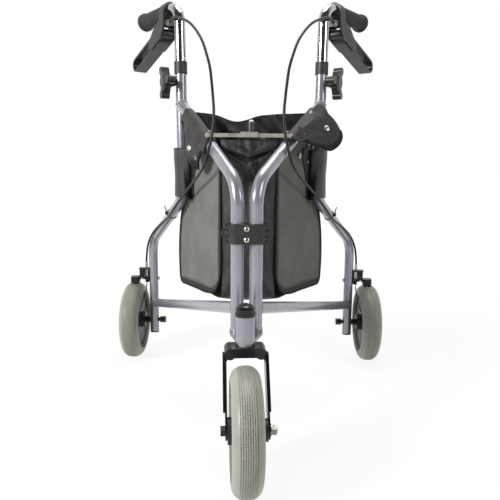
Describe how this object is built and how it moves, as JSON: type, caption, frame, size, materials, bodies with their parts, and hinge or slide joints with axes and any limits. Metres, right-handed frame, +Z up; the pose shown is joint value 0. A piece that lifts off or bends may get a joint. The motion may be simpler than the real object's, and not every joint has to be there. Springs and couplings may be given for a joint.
{
  "type": "three wheel rollator",
  "caption": "Folding three wheel rollator with a front caster, two hinged side frames, height adjustable handles, loop brake levers, a folding lock brace and a hanging bag.",
  "frame": {"origin": "on the floor, in the centre plane, at the middle of the footprint", "axes": "+Z up, -Y to the front, where the caster is, +X to the user's left"},
  "size_m": [0.666, 0.7755, 0.821],
  "materials": {
    "frame_paint": "satin metallic",
    "black_paint": "satin",
    "chrome": "polished",
    "zinc": "satin",
    "black_plastic": "satin",
    "collar_plastic": "matte",
    "bush_plastic": "matte",
    "grip_rubber": "matte",
    "tyre_grey": "matte",
    "rim_grey": "satin",
    "cable_cover": "satin",
    "bag_grey": "woven nylon",
    "bag_black": "woven nylon"
  },
  "bodies": {
    "head": {"head_tube": "frame_paint", "hinge_plate": "frame_paint", "hinge_pins": "zinc", "head_cap": "black_plastic", "head_bearings": "zinc", "clamp_front": "black_plastic", "clamp_rear": "black_plastic", "clamp_screws": "zinc", "bag_middle": "bag_black"},
    "caster_fork": {"fork": "black_paint", "front_axle": "zinc"},
    "front_wheel": {"front_tyre": "tyre_grey", "front_rim": "rim_grey"},
    "left_frame": {"left_front_tube": "frame_paint", "left_rear_leg": "frame_paint", "left_lower_rail": "frame_paint", "left_post_bushes": "bush_plastic", "left_leg_plug": "black_plastic", "left_height_collar": "collar_plastic", "left_rear_axle": "black_paint", "left_brake_bracket": "black_paint", "left_cable_fittings": "zinc", "left_brake_cable": "cable_cover", "left_bag_side": "bag_grey", "left_brake_spring": "zinc"},
    "left_wheel": {"left_tyre": "tyre_grey", "left_rim": "rim_grey"},
    "left_handle": {"left_handle_tube": "chrome", "left_grip": "grip_rubber", "left_brake_housing": "black_plastic", "left_cable_adjuster": "zinc"},
    "left_knob": {"left_height_knob": "black_plastic"},
    "left_lever": {"left_brake_lever": "black_plastic"},
    "left_brake": {"left_brake_arm": "black_paint"},
    "right_frame": {"right_front_tube": "frame_paint", "right_rear_leg": "frame_paint", "right_lower_rail": "frame_paint", "right_post_bushes": "bush_plastic", "right_leg_plug": "black_plastic", "right_height_collar": "collar_plastic", "right_rear_axle": "black_paint", "right_brake_bracket": "black_paint", "right_cable_fittings": "zinc", "right_brake_cable": "cable_cover", "right_bag_side": "bag_grey", "right_brake_spring": "zinc"},
    "right_wheel": {"right_tyre": "tyre_grey", "right_rim": "rim_grey"},
    "right_handle": {"right_handle_tube": "chrome", "right_grip": "grip_rubber", "right_brake_housing": "black_plastic", "right_cable_adjuster": "zinc"},
    "right_knob": {"right_height_knob": "black_plastic"},
    "right_lever": {"right_brake_lever": "black_plastic"},
    "right_brake": {"right_brake_arm": "black_paint"},
    "left_bracket": {"left_brace_bracket": "zinc"},
    "right_bracket": {"right_brace_bracket": "zinc"},
    "right_link": {"right_brace_link": "zinc"},
    "left_link": {"left_brace_link": "zinc", "brace_knob": "black_plastic"}
  },
  "joints": [
    {"name": "caster_swivel", "type": "hinge", "parent": "head", "child": "caster_fork", "pos_m": [0, -0.2215, 0.22], "axis": [0, 0, 1], "continuous": true},
    {"name": "front_wheel_spin", "type": "hinge", "parent": "caster_fork", "child": "front_wheel", "pos_m": [0.00619, -0.29223, 0.09525], "axis": [0.9962, 0.0872, 0], "continuous": true},
    {"name": "left_fold", "type": "hinge", "parent": "head", "child": "left_frame", "pos_m": [0.0156, -0.1645, 0.3], "axis": [0, 0, 1], "range_deg": [0, 24], "deforming": ["bag_middle"]},
    {"name": "right_fold", "type": "hinge", "parent": "head", "child": "right_frame", "pos_m": [-0.0156, -0.1645, 0.3], "axis": [0, 0, 1], "range_deg": [-24, 0], "deforming": ["bag_middle"]},
    {"name": "left_wheel_spin", "type": "hinge", "parent": "left_frame", "child": "left_wheel", "pos_m": [0.29605, 0.2925, 0.09525], "axis": [1, 0, 0], "continuous": true},
    {"name": "left_height", "type": "slide", "parent": "left_frame", "child": "left_handle", "axis": [0.0157, 0.0312, 0.9994], "range_m": [0, 0.15], "deforming": ["left_brake_cable"]},
    {"name": "left_knob_turn", "type": "hinge", "parent": "left_frame", "child": "left_knob", "pos_m": [0.14221, 0.08615, 0.652], "axis": [0.8926, -0.4509, 0], "continuous": true},
    {"name": "left_lever_squeeze", "type": "hinge", "parent": "left_handle", "child": "left_lever", "pos_m": [0.1787, 0.13775, 0.75896], "axis": [0.8111, -0.5849, 0.0055], "range_deg": [0, 12], "stiffness_Nm_per_rad": 0.5},
    {"name": "left_brake_press", "type": "hinge", "parent": "left_frame", "child": "left_brake", "pos_m": [0.27455, 0.2925, 0.2075], "axis": [0, 1, 0], "range_deg": [0, 3], "stiffness_Nm_per_rad": 0.5, "deforming": ["left_brake_spring"]},
    {"name": "right_wheel_spin", "type": "hinge", "parent": "right_frame", "child": "right_wheel", "pos_m": [-0.29605, 0.2925, 0.09525], "axis": [1, 0, 0], "continuous": true},
    {"name": "right_height", "type": "slide", "parent": "right_frame", "child": "right_handle", "axis": [-0.0157, 0.0312, 0.9994], "range_m": [0, 0.15], "deforming": ["right_brake_cable"]},
    {"name": "right_knob_turn", "type": "hinge", "parent": "right_frame", "child": "right_knob", "pos_m": [-0.14221, 0.08615, 0.652], "axis": [0.8926, 0.4509, 0], "continuous": true},
    {"name": "right_lever_squeeze", "type": "hinge", "parent": "right_handle", "child": "right_lever", "pos_m": [-0.1787, 0.13775, 0.75896], "axis": [0.8111, 0.5849, -0.0055], "range_deg": [0, 12], "stiffness_Nm_per_rad": 0.5},
    {"name": "right_brake_press", "type": "hinge", "parent": "right_frame", "child": "right_brake", "pos_m": [-0.27455, 0.2925, 0.2075], "axis": [0, -1, 0], "range_deg": [0, 3], "stiffness_Nm_per_rad": 0.5, "deforming": ["right_brake_spring"]},
    {"name": "left_bracket_swivel", "type": "hinge", "parent": "left_frame", "child": "left_bracket", "pos_m": [0.07, -0.0525, 0.545], "axis": [0, 0, 1], "range_deg": [-24, 0]},
    {"name": "right_bracket_swivel", "type": "hinge", "parent": "right_frame", "child": "right_bracket", "pos_m": [-0.07, -0.0525, 0.545], "axis": [0, 0, 1], "range_deg": [0, 24]},
    {"name": "right_link_lift", "type": "hinge", "parent": "right_bracket", "child": "right_link", "pos_m": [-0.0745, -0.0645, 0.54], "axis": [0, 1, 0], "range_deg": [-71.1, 0]},
    {"name": "left_link_lift", "type": "hinge", "parent": "right_link", "child": "left_link", "pos_m": [0, -0.0645, 0.54], "axis": [0, 1, 0], "range_deg": [0, 142.2]}
  ],
  "couplings": [
    {"joint": "right_fold", "follows": "left_fold", "ratio": -1},
    {"joint": "left_brake_press", "follows": "left_lever_squeeze", "ratio": 0.25},
    {"joint": "right_brake_press", "follows": "right_lever_squeeze", "ratio": 0.25},
    {"joint": "left_bracket_swivel", "follows": "left_fold", "ratio": -1},
    {"joint": "right_bracket_swivel", "follows": "left_fold", "ratio": 1},
    {"joint": "right_link_lift", "follows": "left_fold", "ratio": -2.96},
    {"joint": "left_link_lift", "follows": "left_fold", "ratio": 5.92}
  ]
}
